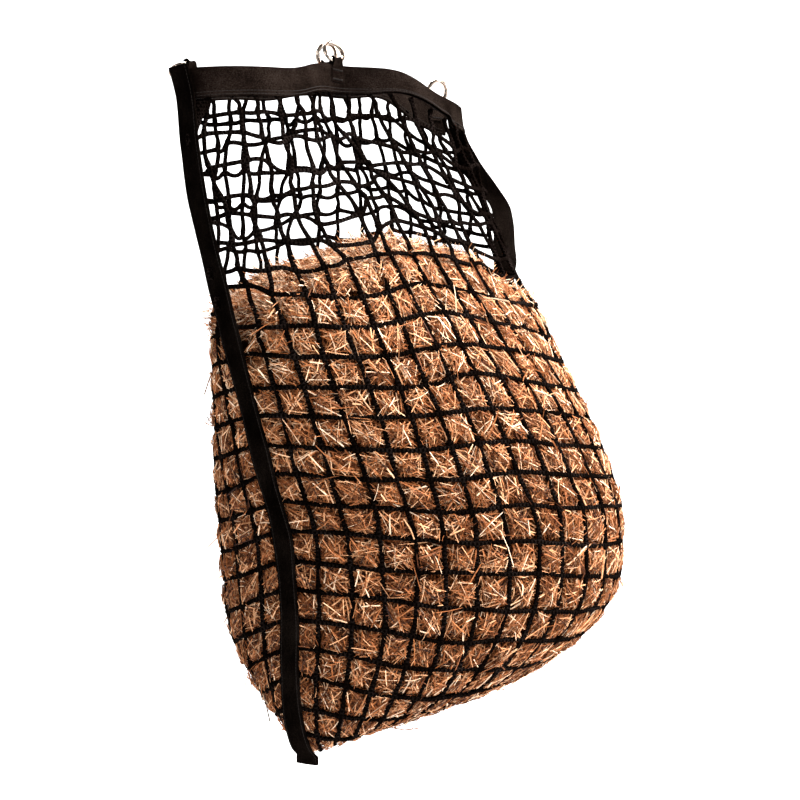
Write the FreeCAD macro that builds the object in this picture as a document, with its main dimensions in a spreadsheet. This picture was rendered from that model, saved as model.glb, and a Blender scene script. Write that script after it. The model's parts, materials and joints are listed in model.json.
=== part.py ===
import FreeCAD, Part
import math
import os

# Hay net: two netting panels joined by webbing, hung by steel rings and filled with hay.
# Millimetres, +Z up, front towards -Y. The origin is where a hook bears inside the two
# centre rings, midway between the front and the back of the mouth.

FRONT = -1
BACK = 1

SIZES = [
    ("net_thickness", 3.0, "netting panel, pressed flat at its edges"),
    ("fold_gap", 4.2, "slot that a folded band leaves for the netting"),
    ("webbing_width", 38.0, "mouth bands, as wide as one mesh of the netting"),
    ("webbing_thickness", 1.4, "one layer of webbing"),
    ("band_overlap", 24.0, "netting held inside a mouth band"),
    ("binding_width", 26.0, "side bindings"),
    ("band_end", 7.0, "mouth band's end, in from the side seam"),
    ("panel_gap", 0.4, "front panel to back panel at their seams"),
    ("binding_gap", 0.6, "room between a side binding and the bands"),
    ("binding_rise", 4.0, "binding that stands above the corner of the mouth"),
    ("binding_tail", 12.0, "binding left free below the bottom corner"),
    ("mouth_pinch", 13.0, "each band's distance from the middle at the hook"),
    ("pinch_reach", 62.0, "how far along a band the pinch reaches"),
    ("mouth_height", -53.4, "top edge of the mouth bands, before tilt, droop and lift"),
    ("mouth_tilt", 19.5, "how much lower the mouth's left corner hangs than its right"),
    ("mouth_droop", 11.2, "how far both corners of the mouth droop"),
    ("mouth_lift", 23.6, "how far the hook lifts the middle of the mouth"),
    ("lift_centre", 30.0, "middle of the lifted length, right of the hook"),
    ("lift_reach", 95.0, "how far along a band the hook lifts it"),
    ("back_left_rise", 10.0, "back band above the front one, halfway to the left corner"),
    ("back_left_middle", -110.0, "middle of that rise"),
    ("back_left_reach", 70.0, "length of that rise"),
    ("back_right_rise", 22.0, "back band above the front one, halfway to the right corner"),
    ("back_right_middle", 120.0, "middle of that rise"),
    ("back_right_reach", 60.0, "length of that rise"),
    ("ring_inside", 23.0, "ring, inside diameter"),
    ("ring_wire", 6.0, "ring, wire diameter"),
    ("ring_meeting", 7.2, "centre rings, wire to wire at the hook"),
    ("tab_width", 20.0, "webbing tab that holds a ring"),
    ("tab_thickness", 1.6, "tab webbing"),
    ("tab_gap", 5.0, "half the gap between a tab's legs"),
    ("tab_leg", 29.0, "tab leg below the ring's wire"),
    ("tab_waist", 12.0, "tab, gathered where it passes through the ring"),
    ("tack_height", 2.2, "bar tack, up and down the tab"),
    ("tack_thickness", 0.7, "bar tack, out of the webbing"),
    ("tack_margin", 2.0, "bar tack, in from the tab's edge"),
    ("hay_clearance", 3.0, "hay to netting"),
    ("hay_top", -268.0, "highest hay"),
    ("hay_shoulder", 82.0, "depth over which the hay's top rounds off"),
    ("hay_shrink", 62.0, "how far the hay's top draws in from the netting"),
    ("corner_inset", 21.0, "corner ring, in from the side seam"),
    ("tab_rise", 7.0, "ring's wire above the band's edge"),
    ("hanging_lean", 108.0, "left corner ring, fallen behind the band, from upright"),
    ("standing_lean", 15.0, "right corner ring, leaning into the mouth, from upright"),
]

# One row for each level of the filled bag, from above the mouth down to the bottom fold:
# height, the middle between the side seams (x, y), half the distance between them, how far
# the front bulges (forwards, and to the right), how far the back bulges (backwards, and to
# the left), how much lower the left seam hangs than the right, and the pinch at the hook.
LEVEL_COLUMNS = (
    "height", "middle_x", "middle_y", "half_width", "front_depth", "front_shift",
    "back_depth", "back_shift", "tilt", "pinch",
)
LEVELS = [
    (-10.0, -15.0, 0.0, 226.0, 46.0, 28.0, 18.0, 0.0, 20.0, 1.0),
    (-90.0, 2.5, 0.0, 218.5, 62.0, 25.0, 28.0, 0.0, 22.0, 1.0),
    (-150.0, 18.0, -4.0, 227.0, 68.0, 13.0, 48.0, 4.0, 20.0, 0.5),
    (-230.0, 40.0, -10.0, 239.0, 84.0, 14.0, 76.0, 12.0, 14.0, 0.0),
    (-400.0, 75.0, -34.0, 244.0, 142.0, 56.0, 138.0, 46.0, 2.0, 0.0),
    (-560.0, 106.0, -48.0, 236.0, 180.0, 104.0, 180.0, 96.0, 5.0, 0.0),
    (-650.0, 124.0, -52.0, 228.0, 189.0, 116.0, 188.0, 120.0, 16.0, 0.0),
    (-730.0, 128.0, -50.0, 223.0, 186.0, 116.0, 182.0, 122.0, 28.0, 0.0),
    (-790.0, 122.0, -46.0, 214.0, 172.0, 106.0, 162.0, 102.0, 38.0, 0.0),
    (-840.0, 112.0, -42.0, 198.0, 142.0, 76.0, 124.0, 70.0, 46.0, 0.0),
    (-880.0, 100.0, -40.0, 176.0, 88.0, 38.0, 70.0, 32.0, 52.0, 0.0),
    (-900.0, 92.0, -40.0, 158.0, 26.0, 8.0, 16.0, 8.0, 56.0, 0.0),
    (-906.0, 90.0, -40.0, 150.0, 5.0, 0.0, 5.0, 0.0, 56.0, 0.0),
]

doc = FreeCAD.newDocument("hay_net")
sheet = doc.addObject("Spreadsheet::Sheet", "sizes")


def fill_sheet():
    """Every driving size goes into the sheet under a word of its own."""
    for row, (name, value, note) in enumerate(SIZES, 1):
        sheet.set(f"A{row}", note)
        sheet.set(f"B{row}", str(value))
        sheet.setAlias(f"B{row}", name)
    for number, level in enumerate(LEVELS):
        row = len(SIZES) + 2 + number
        sheet.set(f"A{row}", f"level {number} of the filled bag")
        for column, (word, value) in enumerate(zip(LEVEL_COLUMNS, level)):
            cell = f"{chr(ord('B') + column)}{row}"
            sheet.set(cell, str(value))
            sheet.setAlias(cell, f"level_{number}_{word}")


fill_sheet()
doc.recompute()


def size(name):
    return float(sheet.get(name))


def level_values(word):
    return [size(f"level_{number}_{word}") for number in range(len(LEVELS))]


DEPTHS = [-height for height in level_values("height")]
MOUTH = LEVELS[0][0]
BOTTOM = LEVELS[-1][0]


def smooth_slopes(values):
    """Slopes for a curve through the levels that never overshoots them."""
    steps = [b - a for a, b in zip(DEPTHS, DEPTHS[1:])]
    rates = [(b - a) / step for a, b, step in zip(values, values[1:], steps)]
    slopes = [rates[0]]
    for i in range(1, len(rates)):
        before, after = rates[i - 1], rates[i]
        if before * after <= 0:
            slopes.append(0.0)
            continue
        near, far = steps[i - 1], steps[i]
        slopes.append(3 * (near + far) / ((near + 2 * far) / before + (2 * near + far) / after))
    slopes.append(rates[-1])
    return slopes


CURVES = {}
for word in LEVEL_COLUMNS[1:]:
    CURVES[word] = (level_values(word), smooth_slopes(level_values(word)))


def at_height(word, height):
    """One column of the level table, read smoothly at any height."""
    values, slopes = CURVES[word]
    depth = -height
    i = sum(1 for d in DEPTHS[1:-1] if d <= depth)
    span = DEPTHS[i + 1] - DEPTHS[i]
    t = (depth - DEPTHS[i]) / span
    return (
        (2 * t**3 - 3 * t**2 + 1) * values[i]
        + (t**3 - 2 * t**2 + t) * span * slopes[i]
        + (3 * t**2 - 2 * t**3) * values[i + 1]
        + (t**3 - t**2) * span * slopes[i + 1]
    )


def steepness(word, height):
    """How much longer the skin is than the height it spans, up to twice."""
    upper, lower = min(height + 2.0, -DEPTHS[0]), max(height - 2.0, -DEPTHS[-1])
    rate = (at_height(word, upper) - at_height(word, lower)) / (upper - lower)
    return min(math.hypot(1.0, rate), 2.0)


def skin_point(height, turn, side, grow=0.0):
    """A point of the bag's skin: turn runs from 0 at the left seam to pi at the right."""
    name, hand = ("front", 1) if side == FRONT else ("back", -1)
    bulge = math.sin(turn)
    middle, half_width = at_height("middle_x", height), at_height("half_width", height)
    x = middle - half_width * math.cos(turn) + hand * at_height(name + "_shift", height) * bulge
    away = at_height(name + "_depth", height) * bulge
    pinch = at_height("pinch", height) * math.exp(-((x / size("pinch_reach")) ** 2))
    away += (size("mouth_pinch") - away) * pinch
    away += grow * steepness(name + "_depth", height) * bulge
    x -= grow * steepness("half_width", height) * math.cos(turn)
    z = height + at_height("tilt", height) / 2 * (x - middle) / half_width
    return FreeCAD.Vector(x, at_height("middle_y", height) + side * away, z)


def back_rise(x, hand):
    """How far the back band's edge rises above the front one's, on one side of the hook."""
    away = (x - size(f"back_{hand}_middle")) / size(f"back_{hand}_reach")
    return size(f"back_{hand}_rise") * math.exp(-(away**2))


def mouth_line(x, side):
    """Height of a band's top edge: tilted, drooping at the corners, lifted at the hook."""
    share = (x - at_height("middle_x", MOUTH)) / at_height("half_width", MOUTH)
    away = (x - size("lift_centre")) / size("lift_reach")
    line = size("mouth_height") + size("mouth_tilt") / 2 * share - size("mouth_droop") * share**2
    line += size("mouth_lift") * math.exp(-(away**4))
    if side == BACK:
        line += back_rise(x, "left") + back_rise(x, "right")
    return line


SECTION_POINTS = 30
BAND_STATIONS = 24


def smooth_edge(points, closed=False):
    curve = Part.BSplineCurve()
    curve.interpolate(Points=points, PeriodicFlag=closed)
    return curve.toShape()


def bag_section(height, grow):
    """The bag's closed outline at one level, front first and then back."""
    turns = [math.pi * i / SECTION_POINTS for i in range(SECTION_POINTS)]
    points = [skin_point(height, turn, FRONT, grow) for turn in turns]
    points += [skin_point(height, math.pi - turn, BACK, grow) for turn in turns]
    return Part.Wire([smooth_edge(points, closed=True)])


def panel_section(height, side, half):
    """One panel's thin outline at one level, from seam to seam, just off the other panel."""
    turns = [math.pi * i / SECTION_POINTS for i in range(SECTION_POINTS + 1)]
    off = FreeCAD.Vector(0, side * size("panel_gap") / 2, 0)
    outer = [skin_point(height, turn, side, half) + off for turn in turns]
    inner = [skin_point(height, turn, side, -half) + off for turn in reversed(turns)]
    ends = [Part.makeLine(outer[-1], inner[0]), Part.makeLine(inner[-1], outer[0])]
    return Part.Wire([smooth_edge(outer), ends[0], smooth_edge(inner), ends[1]])


def loft(name, wires):
    """A solid through closed sections."""
    sections = []
    for number, wire in enumerate(wires):
        section = doc.addObject("Part::Feature", f"{name}_section_{number}")
        section.Shape = wire
        sections.append(section)
    solid = doc.addObject("Part::Loft", name)
    solid.Sections = sections
    solid.Solid = True
    return solid


def cut(name, base, tool):
    result = doc.addObject("Part::Cut", name)
    result.Base = base
    result.Tool = tool
    return result


parts = []


def keep(feature, label):
    feature.Label = label
    parts.append(feature)
    return feature


# Levels at which the lofts are drawn, closer together where the bag curves most.
LOFT_LEVELS = [-30.0, -60.0, -90.0, -120.0, -150.0, -190.0, -230.0, -310.0, -400.0, -480.0]
LOFT_LEVELS += [-560.0, -650.0, -730.0, -790.0, -825.0, -855.0, -880.0, -892.0, -899.0]


def above_netting(word, side):
    """Everything above one panel's top edge, which follows its band."""
    edge_drop = size("webbing_width") - size("band_overlap")
    xs = [-350.0 + 35.0 * i for i in range(21)]
    line = [FreeCAD.Vector(x, -200.0, mouth_line(x, side) - edge_drop) for x in xs]
    corners = [line[-1], FreeCAD.Vector(xs[-1], -200.0, 80.0), FreeCAD.Vector(xs[0], -200.0, 80.0), line[0]]
    face = Part.Face(Part.Wire([smooth_edge(line)] + Part.makePolygon(corners).Edges))
    solid = doc.addObject("Part::Feature", f"above_{word}_netting")
    solid.Shape = face.extrude(FreeCAD.Vector(0, 400.0, 0))
    return solid


def make_netting():
    """Two panels of netting, which meet at both side seams and along the bottom fold."""
    half = size("net_thickness") / 2
    for word, side in (("front", FRONT), ("back", BACK)):
        wires = [panel_section(height, side, half) for height in LOFT_LEVELS + [BOTTOM]]
        panel = cut(f"{word}_netting", loft(f"{word}_sheet", wires), above_netting(word, side))
        keep(panel, f"{word}_net_panel")


def skin_at(x, z, side):
    """The point of one panel at this x and z."""
    low, high = 0.0, math.pi
    for _ in range(40):
        turn = (low + high) / 2
        height = z
        for _ in range(6):
            height += z - skin_point(height, turn, side).z
        if skin_point(height, turn, side).x < x:
            low = turn
        else:
            high = turn
    return skin_point(height, turn, side)


def band_frame(x, side):
    """A band's top edge at this x, its direction along, down and out of the bag."""
    line = mouth_line(x, side)
    top = skin_at(x, line, side)
    foot = skin_at(x, line - size("webbing_width"), side)
    before, after = [skin_at(x + step, mouth_line(x + step, side), side) for step in (-0.5, 0.5)]
    along = (after - before).normalize()
    down = (foot - top).normalize()
    return top, along, down, (along.cross(down) * -side).normalize()


def make_mouth_bands():
    """Webbing folded over the top edge of each panel, with the netting in its fold."""
    slot = size("fold_gap") / 2
    thick, width = size("webbing_thickness"), size("webbing_width")
    half = slot + thick
    folded = [
        (half, 0.0), (half, width), (slot, width), (slot, thick),
        (-slot, thick), (-slot, width), (-half, width), (-half, 0.0),
    ]
    for word, side in (("front", FRONT), ("back", BACK)):
        left, right = [skin_point(size("mouth_height"), turn, side).x for turn in (0.0, math.pi)]
        left, right = left + size("band_end"), right - size("band_end")
        wires = []
        for station in range(BAND_STATIONS + 1):
            share = (1 - math.cos(math.pi * station / BAND_STATIONS)) / 2
            top, _, down, out = band_frame(left + (right - left) * share, side)
            points = [top + out * across + down * drop for across, drop in folded]
            wires.append(Part.makePolygon(points + points[:1]))
        keep(loft(f"{word}_folded_webbing", wires), f"{word}_mouth_band")


# Below this height the bindings no longer turn with the bag, which closes to its fold.
STRAIGHT_BELOW = -850.0


def seam_frame(height, turn):
    """A seam's point, the direction across the binding and the direction out of the bag."""
    point = skin_point(height, turn, FRONT)
    steady = max(height, STRAIGHT_BELOW)
    forward = FreeCAD.Vector(at_height("front_shift", steady), -at_height("front_depth", steady), 0)
    backward = FreeCAD.Vector(-at_height("back_shift", steady), at_height("back_depth", steady), 0)
    across = forward.normalize() - backward.normalize()
    across.normalize()
    hand = 1 if turn == 0 else -1
    return point, across, FreeCAD.Vector(hand * across.y, -hand * across.x, 0)


def make_side_bindings():
    """Double webbing laid over each side seam, from the mouth to past the bottom corner."""
    near = size("fold_gap") / 2 + size("webbing_thickness") + size("binding_gap")
    far = near + 2 * size("webbing_thickness")
    half = size("binding_width") / 2
    for label, turn in (("left_side_binding", 0.0), ("right_side_binding", math.pi)):
        top = mouth_line(skin_point(size("mouth_height"), turn, FRONT).x, FRONT) + size("binding_rise")
        top += at_height("tilt", size("mouth_height")) / 2 * math.cos(turn)
        heights = [top] + [height for height in LOFT_LEVELS if height < top - 15.0]
        wires = []
        for height in heights + [BOTTOM, BOTTOM - size("binding_tail")]:
            inside = max(BOTTOM, height)
            point, across, outward = seam_frame(inside, turn)
            point.z += height - inside
            corners = [
                point + outward * near - across * half,
                point + outward * near + across * half,
                point + outward * far + across * half,
                point + outward * far - across * half,
            ]
            wires.append(Part.makePolygon(corners + corners[:1]))
        keep(loft(f"{label}_webbing", wires), label)


def make_hay():
    """Loose hay that fills the bag up to a rounded top, just clear of the netting."""
    clear = -(size("net_thickness") / 2 + size("hay_clearance"))
    top, shoulder = size("hay_top"), size("hay_shoulder")
    wires = []
    for share in (0.0, 0.05, 0.2, 0.5, 1.0):
        shrink = size("hay_shrink") * (1 - math.sqrt(1 - (1 - share) ** 2))
        wires.append(bag_section(top - share * shoulder, clear - shrink))
    for height in LOFT_LEVELS[:-1]:
        if height < top - shoulder - 20.0:
            wires.append(bag_section(height, clear))
    keep(loft("hay", wires), "hay_fill")


def ring_places():
    """Each ring's name, the middle of its wire in the tab, its heading and its lean."""
    reach = size("ring_inside") + size("ring_wire")
    pinch = size("mouth_pinch")
    lean = math.degrees(math.asin((pinch - size("ring_meeting") / 2) / reach))
    pivot_z = size("ring_wire") / 2 - reach * math.cos(math.radians(lean))
    places = [
        ("front_centre", FreeCAD.Vector(0, -pinch, pivot_z), 0.0, -lean),
        ("back_centre", FreeCAD.Vector(0, pinch, pivot_z), 0.0, lean),
    ]
    for name, turn, inset, corner_lean in (
        ("back_left", 0.0, size("corner_inset"), -size("hanging_lean")),
        ("back_right", math.pi, -size("corner_inset"), size("standing_lean")),
    ):
        x = skin_point(size("mouth_height"), turn, BACK).x + inset
        point, along, _, _ = band_frame(x, BACK)
        point.z += size("tab_rise")
        places.append((name, point, math.degrees(math.atan2(along.y, along.x)), corner_lean))
    return places


def make_tab(name, pivot, heading):
    """A strip of webbing looped over the ring's wire, its legs down both faces of the band."""
    body = doc.addObject("PartDesign::Body", f"{name}_tab")
    side_plane = [f for f in body.Origin.OriginFeatures if f.Role == "YZ_Plane"][0]
    sketch = body.newObject("Sketcher::SketchObject", f"{name}_tab_profile")
    sketch.AttachmentSupport = [(side_plane, "")]
    sketch.MapMode = "FlatFace"
    inner, thick, leg = size("tab_gap"), size("tab_thickness"), size("tab_leg")
    outer = inner + thick
    vector = FreeCAD.Vector
    normal = vector(0, 0, 1)
    outer_arc = Part.ArcOfCircle(Part.Circle(vector(0, 0, 0), normal, outer), 0, math.pi)
    inner_arc = Part.ArcOfCircle(Part.Circle(vector(0, 0, 0), normal, inner), 0, math.pi)
    sketch.addGeometry([outer_arc, inner_arc])
    for hand in (-1, 1):
        sketch.addGeometry(Part.LineSegment(vector(hand * outer, 0, 0), vector(hand * outer, -leg, 0)))
        sketch.addGeometry(Part.LineSegment(vector(hand * outer, -leg, 0), vector(hand * inner, -leg, 0)))
        sketch.addGeometry(Part.LineSegment(vector(hand * inner, -leg, 0), vector(hand * inner, 0, 0)))
    pad = body.newObject("PartDesign::Pad", f"{name}_tab_pad")
    pad.Profile = sketch
    pad.Midplane = True
    pad.setExpression("Length", "sizes.tab_width")
    face_plane = [f for f in body.Origin.OriginFeatures if f.Role == "XZ_Plane"][0]
    waist = body.newObject("Sketcher::SketchObject", f"{name}_tab_waist")
    waist.AttachmentSupport = [(face_plane, "")]
    waist.MapMode = "FlatFace"
    narrow, wide = size("tab_waist") / 2, size("tab_width") / 2 + 1.0
    for hand in (-1, 1):
        corners = [(narrow, 12.0), (wide, 12.0), (wide, -9.0), (narrow, -4.0)]
        corners = [vector(hand * x, z, 0) for x, z in corners]
        for start, end in zip(corners, corners[1:] + corners[:1]):
            waist.addGeometry(Part.LineSegment(start, end))
    pocket = body.newObject("PartDesign::Pocket", f"{name}_tab_gather")
    pocket.Profile = waist
    pocket.Type = "ThroughAll"
    pocket.Midplane = True
    body.Placement = FreeCAD.Placement(pivot, FreeCAD.Rotation(FreeCAD.Vector(0, 0, 1), heading))
    keep(body, f"{name}_tab")


def make_bar_tacks(places):
    """Dense thread bars that close each tab on both faces of its band, in one group."""
    tacks = []
    for name, pivot, heading, _ in places:
        for face in (-1, 1):
            for drop in (12.0, size("tab_leg") - 4.0):
                tack = doc.addObject("Part::Box", f"{name}_tack")
                tack.setExpression("Length", "sizes.tab_width - 2 * sizes.tack_margin")
                tack.setExpression("Width", "sizes.tack_thickness")
                tack.setExpression("Height", "sizes.tack_height")
                outer = size("tab_gap") + size("tab_thickness")
                y = outer if face > 0 else -outer - size("tack_thickness")
                corner = FreeCAD.Vector(size("tack_margin") - size("tab_width") / 2, y, -drop)
                turn = FreeCAD.Rotation(FreeCAD.Vector(0, 0, 1), heading)
                tack.Placement = FreeCAD.Placement(pivot + turn.multVec(corner), turn)
                tacks.append(tack)
    group = doc.addObject("Part::Compound", "tack_group")
    group.Links = tacks
    keep(group, "tab_bar_tacks")


def make_ring(name, pivot, heading, lean):
    """A welded round ring that stands on its pivot, which is the middle of its wire."""
    ring = doc.addObject("Part::Torus", f"{name}_ring")
    ring.setExpression("Radius1", "(sizes.ring_inside + sizes.ring_wire) / 2")
    ring.setExpression("Radius2", "sizes.ring_wire / 2")
    circle = (size("ring_inside") + size("ring_wire")) / 2
    upright = FreeCAD.Rotation(FreeCAD.Vector(1, 0, 0), 90)
    leaning = FreeCAD.Rotation(FreeCAD.Vector(1, 0, 0), lean)
    turned = FreeCAD.Rotation(FreeCAD.Vector(0, 0, 1), heading)
    centre = pivot + turned.multVec(leaning.multVec(FreeCAD.Vector(0, 0, circle)))
    ring.Placement = FreeCAD.Placement(centre, turned * leaning * upright)
    keep(ring, f"{name}_ring")


make_netting()
make_mouth_bands()
make_side_bindings()
make_hay()
RING_PLACES = ring_places()
for name, pivot, heading, lean in RING_PLACES:
    make_tab(name, pivot, heading)
    make_ring(name, pivot, heading, lean)
make_bar_tacks(RING_PLACES)
doc.recompute()

for feature in doc.Objects:
    bad = [state for state in feature.State if state in ("Invalid", "Error")]
    if bad:
        raise RuntimeError(f"{feature.Label}: {bad}")

os.makedirs("parts", exist_ok=True)
for feature in parts:
    shape = feature.Shape
    if shape.isNull() or not shape.isValid() or not shape.Solids:
        raise RuntimeError(f"{feature.Label} has no valid solid")
    shape.exportStep(f"parts/{feature.Label}.step")
    box = shape.BoundBox
    print(
        f"{feature.Label:20s} {len(shape.Solids):3d} solids {shape.Volume / 1000:9.2f} cm3"
        f"  x {box.XMin:7.1f} {box.XMax:7.1f}  y {box.YMin:7.1f} {box.YMax:7.1f}"
        f"  z {box.ZMin:7.1f} {box.ZMax:7.1f}"
    )
for name, pivot, heading, lean in RING_PLACES:
    print(f"{name}: pivot {tuple(round(c, 2) for c in pivot)} heading {heading:.2f} lean {lean:.2f}")
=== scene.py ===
import json
import math

import bpy
import numpy as np
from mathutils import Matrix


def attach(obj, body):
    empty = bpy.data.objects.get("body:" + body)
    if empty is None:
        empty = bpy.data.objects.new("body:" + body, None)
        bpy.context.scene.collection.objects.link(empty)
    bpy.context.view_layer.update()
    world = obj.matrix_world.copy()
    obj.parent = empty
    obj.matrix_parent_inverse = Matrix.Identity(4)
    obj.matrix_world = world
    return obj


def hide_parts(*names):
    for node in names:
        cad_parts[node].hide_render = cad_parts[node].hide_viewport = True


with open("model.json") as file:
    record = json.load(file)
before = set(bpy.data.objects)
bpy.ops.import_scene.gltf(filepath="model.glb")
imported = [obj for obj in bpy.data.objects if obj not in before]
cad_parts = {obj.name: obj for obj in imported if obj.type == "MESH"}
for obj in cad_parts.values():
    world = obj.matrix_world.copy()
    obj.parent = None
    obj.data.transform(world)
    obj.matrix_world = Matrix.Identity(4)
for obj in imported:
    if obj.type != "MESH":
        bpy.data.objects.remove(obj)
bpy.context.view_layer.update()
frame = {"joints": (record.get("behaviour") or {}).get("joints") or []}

BAG = "bag"
MM = 0.001
FRONT, BACK = 0, 1
SIDES = ((FRONT, "front", -1.0), (BACK, "back", 1.0))

# ---------------------------------------------------------------- the bag's shape
# The same levels as the CAD source, in millimetres: height, middle_x, middle_y, half_width,
# front_depth, front_shift, back_depth, back_shift, tilt, pinch.
LEVELS = np.array([
    (-10.0, -15.0, 0.0, 226.0, 46.0, 28.0, 18.0, 0.0, 20.0, 1.0),
    (-90.0, 2.5, 0.0, 218.5, 62.0, 25.0, 28.0, 0.0, 22.0, 1.0),
    (-150.0, 18.0, -4.0, 227.0, 68.0, 13.0, 48.0, 4.0, 20.0, 0.5),
    (-230.0, 40.0, -10.0, 239.0, 84.0, 14.0, 76.0, 12.0, 14.0, 0.0),
    (-400.0, 75.0, -34.0, 244.0, 142.0, 56.0, 138.0, 46.0, 2.0, 0.0),
    (-560.0, 106.0, -48.0, 236.0, 180.0, 104.0, 180.0, 96.0, 5.0, 0.0),
    (-650.0, 124.0, -52.0, 228.0, 189.0, 116.0, 188.0, 120.0, 16.0, 0.0),
    (-730.0, 128.0, -50.0, 223.0, 186.0, 116.0, 182.0, 122.0, 28.0, 0.0),
    (-790.0, 122.0, -46.0, 214.0, 172.0, 106.0, 162.0, 102.0, 38.0, 0.0),
    (-840.0, 112.0, -42.0, 198.0, 142.0, 76.0, 124.0, 70.0, 46.0, 0.0),
    (-880.0, 100.0, -40.0, 176.0, 88.0, 38.0, 70.0, 32.0, 52.0, 0.0),
    (-900.0, 92.0, -40.0, 158.0, 26.0, 8.0, 16.0, 8.0, 56.0, 0.0),
    (-906.0, 90.0, -40.0, 150.0, 5.0, 0.0, 5.0, 0.0, 56.0, 0.0),
])
WORDS = ("height", "middle_x", "middle_y", "half_width", "front_depth", "front_shift",
         "back_depth", "back_shift", "tilt", "pinch")
DEPTHS = -LEVELS[:, 0]
BOTTOM = LEVELS[-1, 0]
PINCH, PINCH_REACH = 13.0, 62.0
MOUTH_HEIGHT, MOUTH_TILT, MOUTH_DROOP = -53.4, 19.5, 11.2
MOUTH_LIFT, LIFT_CENTRE, LIFT_REACH = 23.6, 30.0, 95.0
BACK_RISES = ((10.0, -110.0, 70.0), (22.0, 120.0, 60.0))
WEBBING, BINDING_WIDE = 38.0, 26.0
COLUMNS, ROWS, MESH = 17, 24, 38.0


def slopes_of(values):
    steps, rates = np.diff(DEPTHS), np.diff(values) / np.diff(DEPTHS)
    slopes = np.zeros(len(values))
    slopes[0], slopes[-1] = rates[0], rates[-1]
    for i in range(1, len(rates)):
        before, after, near, far = rates[i - 1], rates[i], steps[i - 1], steps[i]
        if before * after > 0:
            slopes[i] = 3 * (near + far) / ((near + 2 * far) / before + (2 * near + far) / after)
    return slopes


CURVES = {word: (LEVELS[:, k], slopes_of(LEVELS[:, k])) for k, word in enumerate(WORDS)}


def at(word, height):
    """One column of the levels, read smoothly at these heights."""
    values, slopes = CURVES[word]
    depth = -np.asarray(height, float)
    i = np.clip(np.searchsorted(DEPTHS, depth, side="right") - 1, 0, len(DEPTHS) - 2)
    span = DEPTHS[i + 1] - DEPTHS[i]
    t = (depth - DEPTHS[i]) / span
    return ((2 * t**3 - 3 * t**2 + 1) * values[i] + (t**3 - 2 * t**2 + t) * span * slopes[i]
            + (3 * t**2 - 2 * t**3) * values[i + 1] + (t**3 - t**2) * span * slopes[i + 1])


def skin(height, turn, side):
    """A point of the bag's skin in millimetres: turn runs from the left seam to the right."""
    name, hand, sign = ("front", 1.0, -1.0) if side == FRONT else ("back", -1.0, 1.0)
    bulge = np.sin(turn)
    middle, half = at("middle_x", height), at("half_width", height)
    x = middle - half * np.cos(turn) + hand * at(name + "_shift", height) * bulge
    away = at(name + "_depth", height) * bulge
    pinch = at("pinch", height) * np.exp(-((x / PINCH_REACH) ** 2))
    away = away + (PINCH - away) * pinch
    z = height + at("tilt", height) / 2 * (x - middle) / half
    return np.stack([x, at("middle_y", height) + sign * away, z], -1)


def mouth_line(x, side):
    """Height of a band's top edge."""
    share = (x - at("middle_x", -10.0)) / at("half_width", -10.0)
    line = (MOUTH_HEIGHT + MOUTH_TILT / 2 * share - MOUTH_DROOP * share**2
            + MOUTH_LIFT * np.exp(-(((x - LIFT_CENTRE) / LIFT_REACH) ** 4)))
    if side == BACK:
        line = line + sum(rise * np.exp(-(((x - middle) / reach) ** 2)) for rise, middle, reach in BACK_RISES)
    return line


def cumulative(points):
    steps = np.linalg.norm(np.diff(points, axis=0), axis=1)
    return np.concatenate([[0.0], np.cumsum(steps)])


def along(points, distances, at_distances):
    return np.stack([np.interp(at_distances, distances, points[:, k]) for k in range(3)], -1)


PER_CELL = 6
# Heights at which a panel is read: even steps, then finer ones where it curves in to its fold.
READ_HEIGHTS = np.concatenate([np.linspace(-20.0, -860.0, 130), np.linspace(-866.0, BOTTOM, 24)])
# The rows are closer together near the band, where the netting hangs slack: each pair is a
# mesh row and its distance down the panel, in whole meshes.
ROW_PLACES = ((0, 0.0), (1, 0.6), (7, 5.64), (ROWS, 22.64))


def panel_grid(side):
    """The panel as a fine grid, PER_CELL steps to a mesh, from the band's foot to the fold."""
    turns = np.linspace(0.0, math.pi, 161)
    wanted = np.linspace(0.0, 1.0, COLUMNS * PER_CELL + 1)
    rows, places = np.array(ROW_PLACES).T
    share_down = np.interp(np.linspace(0.0, ROWS, ROWS * PER_CELL + 1), rows, places) / places[-1]
    levels = []
    for height in READ_HEIGHTS:
        ring = skin(np.full(turns.shape, height), turns, side)
        run = cumulative(ring)
        levels.append(along(ring, run, wanted * run[-1]))
    levels = np.array(levels)
    grid = []
    for column in range(levels.shape[1]):
        line = levels[:, column]
        below = line[:, 2] - (mouth_line(line[:, 0], side) - WEBBING)
        first = int(np.argmax(below < 0))
        t = below[first - 1] / (below[first - 1] - below[first])
        start = line[first - 1] + (line[first] - line[first - 1]) * t
        line = np.concatenate([start[None], line[first:]])
        run = cumulative(line)
        grid.append(along(line, run, run[-1] * share_down))
    return np.array(grid)


def unit(vectors):
    return vectors / np.maximum(np.linalg.norm(vectors, axis=-1, keepdims=True), 1e-9)


GRID = [panel_grid(side) for side, _, _ in SIDES]
NORMAL = []
for side, _, sign in SIDES:
    across = np.gradient(GRID[side], axis=0)
    down = np.gradient(GRID[side], axis=1)
    facing = unit(np.cross(across, down))
    facing *= np.sign(facing[:, :, 1:2].mean()) * sign
    NORMAL.append(facing)


def read(table, column, row):
    """A grid's value at fractional mesh columns and rows."""
    c = np.clip(np.asarray(column, float) * PER_CELL, 0, COLUMNS * PER_CELL - 1e-6)
    r = np.clip(np.asarray(row, float) * PER_CELL, 0, ROWS * PER_CELL - 1e-6)
    i, j = c.astype(int), r.astype(int)
    u, v = (c - i)[..., None], (r - j)[..., None]
    return ((table[i, j] * (1 - u) + table[i + 1, j] * u) * (1 - v)
            + (table[i, j + 1] * (1 - u) + table[i + 1, j + 1] * u) * v)


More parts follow.
